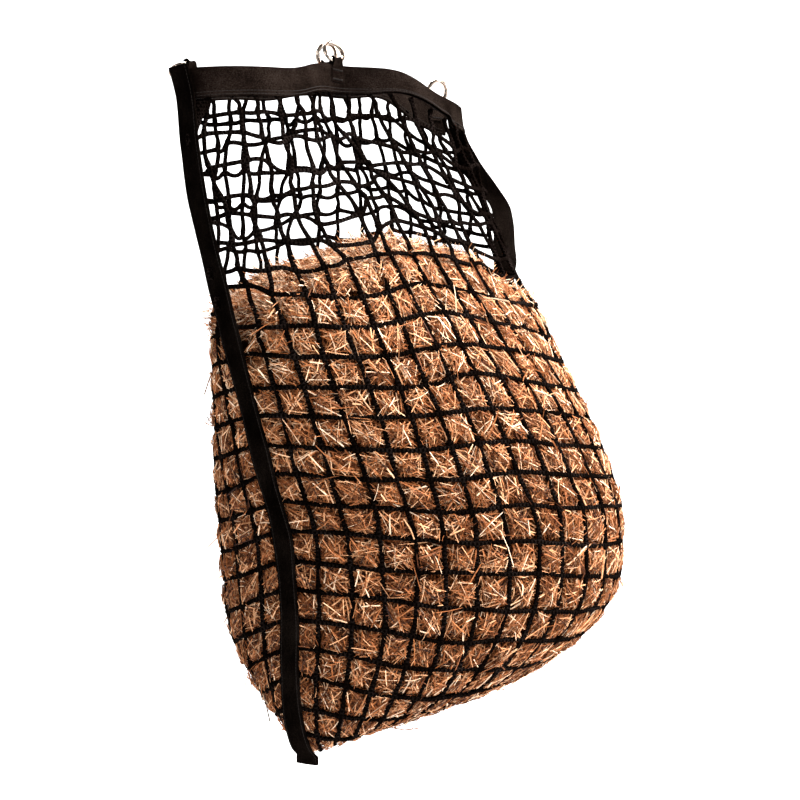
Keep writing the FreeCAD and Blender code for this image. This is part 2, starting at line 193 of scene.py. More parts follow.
# ---------------------------------------------------------------- mesh helpers
def new_piece(name, points, faces, material, body=BAG, slot=None, smooth=True):
    mesh = bpy.data.meshes.new(name)
    mesh.from_pydata((np.asarray(points) * MM).tolist(), [], [tuple(face) for face in faces])
    mesh.materials.append(material)
    mesh.polygons.foreach_set("use_smooth", [smooth] * len(mesh.polygons))
    piece = bpy.data.objects.new(name, mesh)
    bpy.context.scene.collection.objects.link(piece)
    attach(piece, body)
    return piece


def frames_along(path, normals):
    """The side direction and the outward direction at each point of a path."""
    tangent = unit(np.gradient(path, axis=0))
    sideways = unit(np.cross(tangent, normals))
    return sideways, unit(np.cross(sideways, tangent))


def ring_quads(n, m):
    """The quads between n closed rings of m points, with the ring and the point that each starts from."""
    i, j = np.meshgrid(np.arange(n - 1), np.arange(m), indexing="ij")
    k = (j + 1) % m
    return i, j, np.stack([i * m + j, (i + 1) * m + j, (i + 1) * m + k, i * m + k], -1).reshape(-1, 4)


def end_caps(n, m, first=0):
    """The first and the last of n rings as faces."""
    return [list(range(first + m - 1, first - 1, -1)), list(range(first + (n - 1) * m, first + n * m))]


class Sweeps:
    """Collects closed sections swept along paths into one mesh, with UVs along and around each."""

    def __init__(self):
        self.points, self.faces, self.uvs, self.count = [], [], [], 0

    def keep(self, rings, along_run, around):
        n, m = rings.shape[:2]
        i, j, quads = ring_quads(n, m)
        corners = ((i, j), (i + 1, j), (i + 1, j + 1), (i, j + 1))
        uv = np.stack([np.stack([along_run[a], around[b]], -1) for a, b in corners], -2)
        self.points.append(rings.reshape(-1, 3))
        self.faces.extend((quads + self.count).tolist() + end_caps(n, m, self.count))
        self.uvs += [uv.reshape(-1, 2), np.zeros((2 * m, 2))]
        self.count += n * m

    def add(self, sections):
        sections = np.asarray(sections)
        middle = sections[len(sections) // 2]
        around = cumulative(np.concatenate([middle, middle[:1]]))
        self.keep(sections, cumulative(sections.mean(axis=1)), around)

    def piece(self, name, material, **keys):
        made = new_piece(name, np.concatenate(self.points), self.faces, material, **keys)
        layer = made.data.uv_layers.new(name="along")
        layer.data.foreach_set("uv", np.concatenate(self.uvs).ravel().astype(np.float32))
        return made


class Tubes(Sweeps):
    """Collects tubes of oval section that follow paths."""

    def __init__(self, sides):
        super().__init__()
        self.sides = sides

    def add(self, path, normals, wide, thick):
        sideways, outward = frames_along(path, normals)
        turn = np.linspace(0, 2 * math.pi, self.sides, endpoint=False)
        wide = np.broadcast_to(wide, len(path))[:, None, None]
        thick = np.broadcast_to(thick, len(path))[:, None, None]
        rings = (path[:, None] + sideways[:, None] * np.cos(turn)[None, :, None] * wide
                 + outward[:, None] * np.sin(turn)[None, :, None] * thick)
        self.keep(rings, cumulative(path), np.arange(self.sides + 1) / self.sides)


# ---------------------------------------------------------------- materials
def material(name):
    made = bpy.data.materials.new(name)
    made.use_nodes = True
    nodes, links = made.node_tree.nodes, made.node_tree.links
    return made, nodes, links, nodes["Principled BSDF"]


def ramp(nodes, stops):
    node = nodes.new("ShaderNodeValToRGB")
    elements = node.color_ramp.elements
    while len(elements) < len(stops):
        elements.new(0.5)
    for element, (place, colour) in zip(elements, stops):
        element.position = place
        element.color = (*colour, 1.0)
    return node


def math_node(nodes, links, operation, a, b=None):
    node = nodes.new("ShaderNodeMath")
    node.operation = operation
    for socket, value in zip(node.inputs, (a, b)):
        if value is None:
            continue
        if isinstance(value, (int, float)):
            socket.default_value = value
        else:
            links.new(value, socket)
    return node.outputs[0]


def noise(nodes, links, scale, detail=4.0, vector=None):
    node = nodes.new("ShaderNodeTexNoise")
    node.inputs["Scale"].default_value = scale
    node.inputs["Detail"].default_value = detail
    if vector is not None:
        links.new(vector, node.inputs["Vector"])
    return node.outputs["Fac"]


def place_of(nodes):
    return nodes.new("ShaderNodeTexCoord").outputs["Object"]


def bump(nodes, links, height, strength, distance, shader):
    node = nodes.new("ShaderNodeBump")
    node.inputs["Strength"].default_value = strength
    node.inputs["Distance"].default_value = distance
    links.new(height, node.inputs["Height"])
    links.new(node.outputs["Normal"], shader.inputs["Normal"])


def uv_parts(nodes, links):
    """Millimetres or turns along and around a swept piece, from its UVs."""
    uv = nodes.new("ShaderNodeUVMap")
    uv.uv_map = "along"
    split = nodes.new("ShaderNodeSeparateXYZ")
    links.new(uv.outputs["UV"], split.inputs[0])
    return split.outputs[0], split.outputs[1]


def surface(links, shader, colour, roughness, specular):
    """Sets a shader's colour from a ramp, with its roughness and its specular level."""
    links.new(colour.outputs[0], shader.inputs["Base Color"])
    shader.inputs["Roughness"].default_value = roughness
    shader.inputs["Specular IOR Level"].default_value = specular


BRAID_PITCH, RIB_PITCH, WARP_PITCH = 5.2, 1.5, 2.2


def cord_material():
    made, nodes, links, shader = material("braided_cord")
    far, around = uv_parts(nodes, links)
    length = math_node(nodes, links, "MULTIPLY", far, 2 * math.pi / BRAID_PITCH)
    turn = math_node(nodes, links, "MULTIPLY", around, 4 * math.pi)
    one = math_node(nodes, links, "SINE", math_node(nodes, links, "ADD", length, turn))
    two = math_node(nodes, links, "SINE", math_node(nodes, links, "SUBTRACT", length, turn))
    braid = math_node(nodes, links, "MAXIMUM", one, two)
    fuzz = noise(nodes, links, 900.0, 3.0, place_of(nodes))
    height = math_node(nodes, links, "ADD", braid, math_node(nodes, links, "MULTIPLY", fuzz, 0.8))
    bump(nodes, links, height, 0.9, 0.0009, shader)
    # The braid's crests are painted lighter and its grooves darker: painted shade in the grooves, mottled by
    # a broad noise.
    shade = math_node(nodes, links, "MULTIPLY_ADD", braid, 0.25)
    shade.node.inputs[2].default_value = 0.35
    braid_shade_and_mottle = math_node(nodes, links, "MULTIPLY", shade, math_node(
        nodes, links, "ADD", noise(nodes, links, 34.0, 5.0, place_of(nodes)), 0.35))
    colour = ramp(nodes, [(0.0, (0.0005, 0.0003, 0.0002)), (0.45, (0.0024, 0.0015, 0.0012)),
                          (1.0, (0.03, 0.023, 0.021))])
    links.new(braid_shade_and_mottle, colour.inputs[0])
    surface(links, shader, colour, 0.9, 0.0)
    return made


def webbing_material(name="woven_webbing", tone=1.0):
    """Ribbed webbing: fine ribs across its length with warp threads along it. A tone below 1 darkens it as
    painted shade.
    """
    made, nodes, links, shader = material(name)
    far, around = uv_parts(nodes, links)
    waves = [math_node(nodes, links, "MULTIPLY", place, 2 * math.pi / pitch)
             for place, pitch in ((far, RIB_PITCH), (around, WARP_PITCH))]
    ribs, warp = (math_node(nodes, links, "SINE", wave) for wave in waves)
    weave = math_node(nodes, links, "MULTIPLY", ribs, warp)
    fuzz = noise(nodes, links, 1500.0, 3.0, place_of(nodes))
    height = math_node(nodes, links, "ADD", weave, math_node(nodes, links, "MULTIPLY", fuzz, 1.2))
    bump(nodes, links, height, 0.8, 0.0005, shader)
    grain = math_node(nodes, links, "MULTIPLY", noise(nodes, links, 900.0, 5.0, place_of(nodes)),
                      math_node(nodes, links, "ADD", noise(nodes, links, 22.0, 4.0, place_of(nodes)), 0.45))
    colour = ramp(nodes, [(0.22, tuple(c * tone for c in (0.0006, 0.0004, 0.0003))),
                          (0.42, tuple(c * tone for c in (0.0029, 0.0018, 0.0014))),
                          (0.7, tuple(c * tone for c in (0.02, 0.0145, 0.0118)))])
    links.new(grain, colour.inputs[0])
    surface(links, shader, colour, 0.9, 0.0)
    return made


def thread_material():
    made, nodes, links, shader = material("sewing_thread")
    twist = noise(nodes, links, 2500.0, 2.0, place_of(nodes))
    bump(nodes, links, twist, 0.6, 0.0003, shader)
    colour = ramp(nodes, [(0.3, (0.003, 0.002, 0.0018)), (0.7, (0.013, 0.0092, 0.0078))])
    links.new(twist, colour.inputs[0])
    surface(links, shader, colour, 0.7, 0.1)
    return made


def chrome_material():
    made, nodes, links, shader = material("plated_steel")
    smear = noise(nodes, links, 60.0, 4.0, place_of(nodes))
    colour = ramp(nodes, [(0.3, (0.3, 0.21, 0.16)), (0.7, (0.7, 0.6, 0.52))])
    links.new(smear, colour.inputs[0])
    links.new(colour.outputs[0], shader.inputs["Base Color"])
    rough = ramp(nodes, [(0.3, (0.07, 0.07, 0.07)), (0.75, (0.22, 0.22, 0.22))])
    links.new(noise(nodes, links, 300.0, 4.0, place_of(nodes)), rough.inputs[0])
    links.new(rough.outputs[0], shader.inputs["Roughness"])
    bump(nodes, links, noise(nodes, links, 500.0, 2.0, place_of(nodes)), 0.05, 0.0002, shader)
    shader.inputs["Metallic"].default_value = 1.0
    return made


STRAW_TONES = [(0.0, (0.012, 0.0028, 0.0006)), (0.25, (0.09, 0.025, 0.006)), (0.5, (0.32, 0.105, 0.031)),
               (0.75, (0.65, 0.35, 0.18)), (1.0, (0.8, 0.61, 0.44))]


def straw_material():
    """Dry stalks: each has its own tone, and is mottled."""
    made, nodes, links, shader = material("dry_stalks")
    tone = nodes.new("ShaderNodeAttribute")
    tone.attribute_name = "tone"
    mottle = noise(nodes, links, 260.0, 3.0, place_of(nodes))
    mottled = math_node(nodes, links, "MULTIPLY", math_node(nodes, links, "SUBTRACT", mottle, 0.5), 0.4)
    mixed = math_node(nodes, links, "ADD", tone.outputs["Fac"], mottled)
    colour = ramp(nodes, STRAW_TONES)
    links.new(mixed, colour.inputs[0])
    bump(nodes, links, noise(nodes, links, 1800.0, 2.0, place_of(nodes)), 0.4, 0.0003, shader)
    surface(links, shader, colour, 0.65, 0.15)
    return made


def core_material():
    """Packed hay behind the loose stalks, coloured very dark as painted shade in the gaps between the stalks:
    tangled fibres, with painted shade between them.
    """
    made, nodes, links, shader = material("packed_hay_painted_shade")
    place = place_of(nodes)
    fibres = []
    for turn, scale in ((0.4, (900.0, 60.0, 60.0)), (-0.7, (60.0, 60.0, 900.0)), (1.2, (70.0, 900.0, 420.0))):
        mapping = nodes.new("ShaderNodeMapping")
        mapping.inputs["Rotation"].default_value = (turn, 0.6 * turn, turn * 1.7)
        mapping.inputs["Scale"].default_value = scale
        links.new(place, mapping.inputs["Vector"])
        fibres.append(noise(nodes, links, 1.0, 3.0, mapping.outputs[0]))
    tangle = math_node(nodes, links, "MAXIMUM", fibres[1], fibres[2])
    tangle = math_node(nodes, links, "MAXIMUM", fibres[0], tangle)
    patches = noise(nodes, links, 30.0, 4.0, place)
    # Darker between the fibres: painted shade.
    shade = math_node(nodes, links, "MULTIPLY", tangle, math_node(nodes, links, "ADD", patches, 0.45))
    colour = ramp(nodes, [(0.3, (0.003, 0.0007, 0.0002)), (0.5, (0.028, 0.007, 0.0016)),
                          (0.75, (0.2, 0.068, 0.02))])
    links.new(shade, colour.inputs[0])
    bump(nodes, links, tangle, 1.0, 0.003, shader)
    surface(links, shader, colour, 0.95, 0.0)
    return made


CORD = cord_material()
WEBBING_BLACK = webbing_material()
# The bindings use the same webbing darkened to 0.4 of its brightness: painted shade.
BINDING_SHADED_WEBBING = webbing_material("binding_webbing_painted_shade", 0.4)
THREAD = thread_material()
CHROME = chrome_material()
STRAW = straw_material()
CORE = core_material()

# ---------------------------------------------------------------- netting
CORD_WIDE, CORD_THICK = 2.9, 2.5
LOOP_DEPTHS = (320.0, 357.0)
GATHERED = 10
STEPS = 8
KNOT_SWELL, KNOT_REACH = 0.36, 4.2
BAND_OVERLAP, BOW_LIMIT = 6.0, 9.0
# How far a crossing wanders where the netting is taut, and what is added where it hangs empty:
# aside and down in meshes, outward in millimetres.
ASIDE_WANDER, DOWN_WANDER, OUT_WANDER = (0.05, 0.17), (0.045, 0.13), (0.6, 2.2)
LOOP_OUT, LOOP_REACH, LOOP_HALF = 9.0, 6.0, 5.5
HAY_TOP_ROW = (9.0, 6.75, 8.1)


def hay_top_row(column):
    """The mesh row at which the hay starts: higher in the middle of the bag."""
    share = np.asarray(column, float) / COLUMNS
    left, middle, right = HAY_TOP_ROW
    ends = np.where(share < 0.5, left, right)
    wave = 0.22 * np.sin(5.1 * share * math.pi + 0.6) + 0.14 * np.sin(11.3 * share * math.pi)
    hollow = 1.1 * np.exp(-((share * COLUMNS / 1.1) ** 2))
    return middle + (ends - middle) * np.abs(2 * share - 1) ** 1.6 + wave + hollow


def looseness(column, row):
    """1 where the netting hangs empty, 0 where the hay holds it out."""
    fill = np.clip((np.asarray(row, float) - (hay_top_row(column) - 1.2)) / 2.5, 0, 1)
    return 1 - fill * fill * (3 - 2 * fill)


def smooth_random(rng, shape, axis, reach):
    """Random numbers that change slowly along one axis."""
    values = rng.normal(size=shape)
    kernel = np.exp(-((np.arange(-3, 4) / reach) ** 2))
    kernel /= math.sqrt((kernel**2).sum())
    return np.apply_along_axis(lambda line: np.convolve(line, kernel, mode="same"), axis, values)


def soften(path):
    path = path.copy()
    path[1:-1] = path[:-2] * 0.25 + path[1:-1] * 0.5 + path[2:] * 0.25
    return path


def slackened(pair, loose):
    """The taut value of a pair, plus its slack value where the netting is loose."""
    return pair[0] + pair[1] * loose


def netting(side, name, seed):
    """One panel: a cord for each line of crossings down it and across it, all in one mesh."""
    rng = np.random.default_rng(seed)
    columns, rows = np.meshgrid(np.arange(COLUMNS + 1), np.arange(ROWS + 1), indexing="ij")
    loose = looseness(columns, rows)
    shape = columns.shape
    free = np.minimum(rows / 1.5, 1.0)
    aside = smooth_random(rng, shape, 1, 1.3) * slackened(ASIDE_WANDER, loose) * free
    below = smooth_random(rng, shape, 0, 1.0) * slackened(DOWN_WANDER, loose) * free
    out = rng.normal(size=shape) * slackened(OUT_WANDER, loose) * free
    aside[0] = aside[-1] = below[:, 0] = below[:, -1] = out[:, 0] = out[:, -1] = 0
    fold = (GRID[FRONT][::PER_CELL, -1] + GRID[BACK][::PER_CELL, -1]) / 2 - (0, 0, 1.5)
    tubes = Tubes(8)

    def cord(c, r, n, ends=None):
        normals = read(NORMAL[side], c, r)
        path = soften(read(GRID[side], c, r) + normals * n[:, None])
        if ends:
            path, normals = ends(path, normals)
        place = np.arange(len(path)) / STEPS
        nearest = np.abs(place - np.round(place)) * MESH
        swell = 1 + KNOT_SWELL * np.exp(-((nearest / KNOT_REACH) ** 2)) + 0.04 * rng.normal(size=len(path))
        tubes.add(path, normals, CORD_WIDE * swell, CORD_THICK * swell)

    for column in range(COLUMNS + 1):
        s = np.linspace(0, ROWS, ROWS * STEPS + 1)
        whole = np.arange(ROWS + 1)
        c = np.clip(column + np.interp(s, whole, aside[column]), 0, COLUMNS)
        r = s + np.interp(s, whole, below[column])
        n = np.interp(s, whole, out[column])
        waver = 0.35 + 1.2 * np.interp(s, whole, loose[column])
        wander = smooth_random(rng, s.shape, 0, 2.5) * 0.045 * waver * np.abs(np.sin(math.pi * s))
        c = np.clip(c + wander, 0, COLUMNS)

        def to_band_and_fold(path, normals, column=column):
            path[-1] = fold[column]
            top = path[0] + unit(path[0] - path[1]) * BAND_OVERLAP
            return np.concatenate([top[None], path]), np.concatenate([normals[:1], normals])

        cord(c, r, n, to_band_and_fold)

    for row in range(1, ROWS):
        s = np.linspace(0, COLUMNS, COLUMNS * STEPS + 1)
        whole = np.arange(COLUMNS + 1)
        c = s + np.interp(s, whole, aside[:, row])
        r = row + np.interp(s, whole, below[:, row])
        n = np.interp(s, whole, out[:, row])
        ends = read(GRID[side], whole + aside[:, row], row + below[:, row])
        chord = np.linalg.norm(np.diff(ends, axis=0), axis=1)
        spare = np.clip(MESH - chord, 0, None)
        bow = np.minimum(np.sqrt(0.375 * chord * spare), BOW_LIMIT) * np.clip(0.25 + loose[:-1, row], 0, 1)
        lean = rng.uniform(-0.5, 1.0, COLUMNS)
        sag = rng.uniform(0.1, 1.0, COLUMNS) * np.where(rng.random(COLUMNS) < 0.25, -0.7, 1.0)
        segment = np.minimum(s.astype(int), COLUMNS - 1)
        arch = np.sin(math.pi * (s - segment)) ** 0.8
        r = r + arch * (bow * sag)[segment] / MESH
        n = n + arch * (bow * lean)[segment]
        cord(c, r, n)

    for k in range(GATHERED if side == FRONT else 0):
        share, reach = np.linspace(0, 1, 9), k / (GATHERED - 1)
        c = (0.2 + 0.85 * reach) * (1 - share)
        r = 0.1 + (0.7 + 1.3 * reach) * share
        n = rng.uniform(0.5, 2.5) + rng.uniform(0, 2.5) * np.sin(math.pi * share)
        normals = read(NORMAL[side], c, r)
        tubes.add(read(GRID[side], c, r) + normals * n[:, None], normals, CORD_WIDE, CORD_THICK)
    if side == BACK:
        for depth in LOOP_DEPTHS:
            seam = skin(np.array(-depth), np.array(0.0), side)
            turn = np.linspace(-0.4, math.pi + 0.4, 13)[:, None]
            beside = np.array((-1.0, 0, 0)) * (LOOP_OUT + LOOP_REACH * np.sin(turn))
            path = seam + beside + np.array((0, 0, 1.0)) * LOOP_HALF * np.cos(turn)
            tubes.add(path, np.tile((0.0, -1.0, 0.0), (len(path), 1)), CORD_WIDE, CORD_THICK)
    return tubes.piece(name, CORD, slot="netting")


for side, word, _ in SIDES:
    netting(side, f"{word}_netting", 11 + side)
    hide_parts(f"{word}_net_panel")

# ---------------------------------------------------------------- hay
PILLOW_FOOT, PILLOW_RISE = -3.4, 8.0
CROWN_INSET, CROWN_RISE = 6.0, 16.0
CORE_DEPTH, ROOF_DEPTH = 8.0, 9.0


def pillow(column, row):
    """How far the hay bulges through a mesh, from the netting's own surface."""
    crest = np.abs(np.sin(math.pi * column)) * np.abs(np.sin(math.pi * row))
    return PILLOW_FOOT + PILLOW_RISE * crest**0.5


def crown(column, over):
    """The hay's top: over runs from 0 at the front panel to pi at the back."""
    row = hay_top_row(column)
    front = read(GRID[FRONT], column, row) - read(NORMAL[FRONT], column, row) * CROWN_INSET
    back = read(GRID[BACK], column, row) - read(NORMAL[BACK], column, row) * CROWN_INSET
    middle, half = (front + back) / 2, (front - back) / 2
    share = np.asarray(column, float) / COLUMNS
    rise = CROWN_RISE * np.sin(math.pi * np.clip(share, 0, 1)) ** 0.6
    rise = rise * (1 + 0.25 * np.sin(9.0 * share * math.pi) + 0.2 * np.sin(4.0 * share * math.pi + 1.0))
    lift = np.sin(over) * rise
    return middle + half * np.cos(over)[..., None] + np.stack([0 * lift, 0 * lift, lift], -1)


def make_core():
    """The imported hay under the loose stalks, as one closed skin."""
    columns = np.linspace(0.03, COLUMNS - 0.03, COLUMNS * 6 + 1)
    strips = []
    for column in columns:
        top = float(hay_top_row(column))
        rows = np.linspace(ROWS - 0.15, top, 100)
        sheet = []
        for side, order in ((FRONT, 1), (BACK, -1)):
            line = rows[::order]
            c = np.full(line.shape, column)
            offset = pillow(c, line) * 0.35 - CORE_DEPTH
            sheet.append(read(GRID[side], c, line) + read(NORMAL[side], c, line) * offset[:, None])
        over = np.linspace(0, math.pi, 18)[1:-1]
        roof = crown(np.full(over.shape, column), over) - (0, 0, ROOF_DEPTH)
        strips.append(np.concatenate([sheet[0], roof, sheet[1]]))
    strips = np.array(strips)
    n, m = strips.shape[:2]
    faces = ring_quads(n, m)[2].tolist() + end_caps(n, m)
    return new_piece("packed_hay_painted_shade", strips.reshape(-1, 3), faces, CORE, slot="hay")


HAY = make_core()
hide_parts("hay_fill")

STATIONS = np.array([0.0, 0.07, 0.5, 0.93, 1.0])
STALK_FACES = []
for a in range(3):
    b = (a + 1) % 3
    STALK_FACES += [(0, 1 + b, 1 + a), (10, 7 + a, 7 + b)]
STALK_QUADS = []
for ring in (1, 4):
    for a in range(3):
        b = (a + 1) % 3
        STALK_QUADS.append((ring + a, ring + b, ring + 3 + b, ring + 3 + a))


def stalks(name, paths, radius, tone, rng):
    """Closed three-sided stalks along paths of five points each."""
    count = len(paths)
    tangent = unit(paths[:, 4] - paths[:, 0])
    across = unit(np.cross(tangent, unit(rng.normal(size=(count, 3)))))
    over = np.cross(tangent, across)
    points = np.zeros((count, 11, 3))
    points[:, 0], points[:, 10] = paths[:, 0], paths[:, 4]
    flat = rng.uniform(0.35, 1.0, count)
    for ring in range(3):
        for a in range(3):
            turn = 2 * math.pi * a / 3
            offset = across * (radius * math.cos(turn))[:, None]
            offset = offset + over * (radius * flat * math.sin(turn))[:, None]
            points[:, 1 + 3 * ring + a] = paths[:, 1 + ring] + offset
    base = (np.arange(count) * 11)[:, None, None]
    triangles = (np.array(STALK_FACES)[None] + base).reshape(-1, 3).tolist()
    quads = (np.array(STALK_QUADS)[None] + base).reshape(-1, 4).tolist()
    piece = new_piece(name, points.reshape(-1, 3), triangles + quads, STRAW, slot="hay", smooth=False)
    layer = piece.data.attributes.new("tone", "FLOAT", "POINT")
    layer.data.foreach_set("value", np.repeat(tone, 11).astype(np.float32))
    return piece


PALE_SHARE, PALE_LIFT = 0.13, 0.33
# Short stalks tucked inside one mesh: their share, their greatest half-length in meshes,
# and how much of the mesh they may fill.
TUCKED_SHARE, TUCKED_LENGTH, TUCKED_ROOM = 0.8, 0.47, 0.96
# Strays stand out of the surface, but not this near a seam, in meshes.
STRAY_MARGIN = 1.3
# A stalk that crosses under a cord is pressed down to here, and flatter than this rise.
PRESSED, PRESSED_RISE = -2.5, 0.15
# Painted light: stalks are paler near the hay's top, fading over this many rows, and towards the right, less
# a small overall offset.
TOP_PAINTED_LIGHT, TOP_PAINTED_LIGHT_ROWS, RIGHT_PAINTED_LIGHT, PAINTED_LIGHT_OFFSET = 0.16, 3.5, 0.13, 0.03


def tones(rng, count, middle=0.47):
    """Each stalk's tone, from 0, darkest, to 1, with some pale ones."""
    tone = rng.normal(middle, 0.26, count)
    pale = rng.random(count) < PALE_SHARE
    tone[pale] += PALE_LIFT
    return np.clip(tone, 0.0, 1.0)


def panel_stalks(side, count, seed, name, low, high, longest, stray=0.0):
    """Stalks that lie in the hay's surface behind one panel, between two depths."""
    rng = np.random.default_rng(seed)
    column = rng.uniform(0.15, COLUMNS - 0.15, count)
    top = hay_top_row(column)
    row = top + (ROWS - 0.1 - top) * rng.random(count)
    heading = rng.uniform(0, 2 * math.pi, count)
    length = rng.uniform(0.32, 1.0, count) ** 1.5 * longest
    curl = rng.normal(0, 0.07, count)
    base = rng.uniform(low, high, count)
    rise = rng.normal(0, 0.05, count) * length
    inner = np.minimum(column, COLUMNS - column) > STRAY_MARGIN
    rise += np.where((rng.random(count) < stray) & inner, rng.uniform(0.15, 0.6, count), 0.0) * length
    paths = np.zeros((count, 5, 3))
    half = np.stack([np.cos(heading), np.sin(heading)]) * length / (2 * MESH)
    tucked = (np.abs(half).max(axis=0) < TUCKED_LENGTH) & (rng.random(count) < TUCKED_SHARE)
    for place, reach in ((column, half[0]), (row, half[1])):
        cell = np.floor(place)
        place[tucked] = (cell + 0.5 + (place - cell - 0.5) * (TUCKED_ROOM - 2 * np.abs(reach)))[tucked]
    crosses = np.floor(column - half[0]) != np.floor(column + half[0])
    crosses |= np.floor(row - half[1]) != np.floor(row + half[1])
    crosses &= rise < PRESSED_RISE * length
    for k, share in enumerate(STATIONS):
        run = (share - 0.5) * length
        bend = curl * length * (1 - (2 * share - 1) ** 2)
        c = column + (np.cos(heading) * run - np.sin(heading) * bend) / MESH
        r = row + (np.sin(heading) * run + np.cos(heading) * bend) / MESH
        c = np.clip(c, 0.05, COLUMNS - 0.05)
        r = np.clip(r, hay_top_row(c) - 0.25, ROWS - 0.02)
        bulge = pillow(c, r) * 0.75
        away = np.where(crosses, np.minimum(bulge, PRESSED) - 0.5, bulge) + base + rise * share
        paths[:, k] = read(GRID[side], c, r) + read(NORMAL[side], c, r) * away[:, None]
    chord = paths[:, :1] + (paths[:, 4:] - paths[:, :1]) * STATIONS[None, :, None]
    paths = paths + (chord - paths) * rng.uniform(0.3, 0.85, count)[:, None, None]
    radius = 0.42 + 0.7 * rng.random(count) ** 2
    # Stalks set deeper into the hay get a darker tone: painted shade in the hay's depths.
    depth_painted_shade = np.clip((base - low) / (high - low), 0, 1)
    # Painted light: paler tones near the hay's top and towards the right, where the light falls.
    painted_light = TOP_PAINTED_LIGHT * np.exp(-(row - top) / TOP_PAINTED_LIGHT_ROWS)
    painted_light = painted_light + RIGHT_PAINTED_LIGHT * (column / COLUMNS) ** 2 - PAINTED_LIGHT_OFFSET
    tone = np.clip(tones(rng, count) * (0.55 + 0.45 * depth_painted_shade) + painted_light, 0, 1)
    return stalks(name, paths, radius, tone, rng)


THIN = 1.0
BATCH_STALKS, WISPS, CROWN_STALKS = 10500, 5500, 7000
for side, word, _ in SIDES:
    for batch in range(3):
        seed = 100 + 10 * side + batch
        panel_stalks(side, int(BATCH_STALKS * THIN), seed, f"{word}_hay_stalks_{batch}", -7.0, 2.2, 56.0)
    panel_stalks(side, int(WISPS * THIN), 130 + side, f"{word}_hay_wisps", -1.0, 3.0, 42.0, stray=0.06)


def crown_stalks(count, seed):
    """Stalks that lie loosely on the hay's top."""
    rng = np.random.default_rng(seed)
    column = rng.uniform(0.9, COLUMNS - 0.9, count)
    over = rng.uniform(0.02, math.pi - 0.02, count)
    start = crown(column, over)
    start[:, 2] += rng.uniform(-11, 2, count)
    heading = rng.uniform(0, 2 * math.pi, count)
    room = (np.minimum(column, COLUMNS - column) - 0.6) * MESH
    length = np.minimum(rng.uniform(20, 56, count), room)
    away = np.stack([np.cos(heading), np.sin(heading) * 0.6, rng.normal(0, 0.42, count)], -1)
    curl = rng.normal(0, 0.1, count)
    paths = np.zeros((count, 5, 3))
    for k, share in enumerate(STATIONS):
        paths[:, k] = start + away * ((share - 0.5) * length)[:, None]
        paths[:, k, 2] += curl * length * (1 - (2 * share - 1) ** 2)
    # Their tones centre at 0.63, paler than the panel stalks': painted light on the hay's top.
    return stalks("hay_top_stalks", paths, rng.uniform(0.35, 0.8, count), tones(rng, count, 0.63), rng)


crown_stalks(int(CROWN_STALKS * THIN), 171)


# ---------------------------------------------------------------- webbing
def skin_at(x, z, side):
    """The points of one panel at these x and z."""
    x, z = np.broadcast_arrays(np.asarray(x, float), np.asarray(z, float))
    low, high = np.zeros(x.shape), np.full(x.shape, math.pi)
    for _ in range(34):
        turn = (low + high) / 2
        height = z.copy()
        for _ in range(5):
            height = height + z - skin(height, turn, side)[..., 2]
        left = skin(height, turn, side)[..., 0] < x
        low, high = np.where(left, turn, low), np.where(left, high, turn)
    return skin(height, turn, side)


BAND_END = 4.0


def band_frames(side, stations):
    """The band's top edge, its direction down and its direction out of the bag."""
    ends = [float(skin(np.array(MOUTH_HEIGHT), np.array(turn), side)[0]) for turn in (0.0, math.pi)]
    x = np.linspace(ends[0] + BAND_END, ends[1] - BAND_END, stations)
    top = skin_at(x, mouth_line(x, side), side)
    foot = skin_at(x, mouth_line(x, side) - WEBBING, side)
    run, down = unit(np.gradient(top, axis=0)), unit(foot - top)
    return top, down, unit(np.cross(run, down) * -SIDES[side][2])


def u_profile(half, slot, width):
    """Webbing folded in two: across the fold, and down from it."""
    depths = np.linspace(width - 0.5, width * 0.2, 8)
    points = [(half, depth) for depth in depths]
    arc = np.linspace(0, math.pi, 7)
    points += [(half * math.cos(a), half * 0.9 - half * 0.9 * math.sin(a)) for a in arc]
    points += [(-half, depth) for depth in depths[::-1]]
    points += [(-half * 0.75, width), (-slot, width)] + [(-slot, depth) for depth in depths]
    points += [(-slot, half), (slot, half)] + [(slot, depth) for depth in depths[::-1]]
    points += [(slot, width), (half * 0.75, width)]
    return np.array(points)


# The front band's lower part turns in under the upper part to the right of the hook:
# x, and how much of the webbing's width still faces outward there.
CREASE = ((20.0, 1.0), (62.0, 0.74), (125.0, 0.45), (155.0, 0.45), (185.0, 0.9), (215.0, 1.0))
CREASE_TURN = math.radians(34.0)
# The crease starts at CREASE_FROM and is fully turned CREASE_IN further on. It ends at CREASE_TO,
# and turns back over the CREASE_OUT before that.
CREASE_FROM, CREASE_IN, CREASE_TO, CREASE_OUT = 20.0, 50.0, 190.0, 30.0


def creased(side, x, drop):
    """How far in, and how far down, a point of a band lies that is this far from its top edge."""
    if side == BACK:
        return 0 * drop, drop
    past = np.clip(drop - WEBBING * np.interp(x, *np.array(CREASE).T), 0, None)
    turn = CREASE_TURN * np.clip((x - CREASE_FROM) / CREASE_IN, 0, 1)
    turn = turn * np.clip((CREASE_TO - x) / CREASE_OUT, 0, 1)
    return past * np.sin(turn), drop - past * (1 - np.cos(turn))


def ripple(rng, count, size, reach):
    """Slow random waves along a strip, as one number for each station."""
    values = smooth_random(rng, (count + 60,), 0, 2.5)
    grid = np.arange(0, count, reach)
    return np.interp(np.arange(count), grid, values[: len(grid)]) * size


def rippled_band(side):
    """A band's frames, and how far its lower edge waves out at each station."""
    top, down, out = band_frames(side, 181)
    return top, down, out, ripple(np.random.default_rng(40 + side), len(top), 0.7, 9)


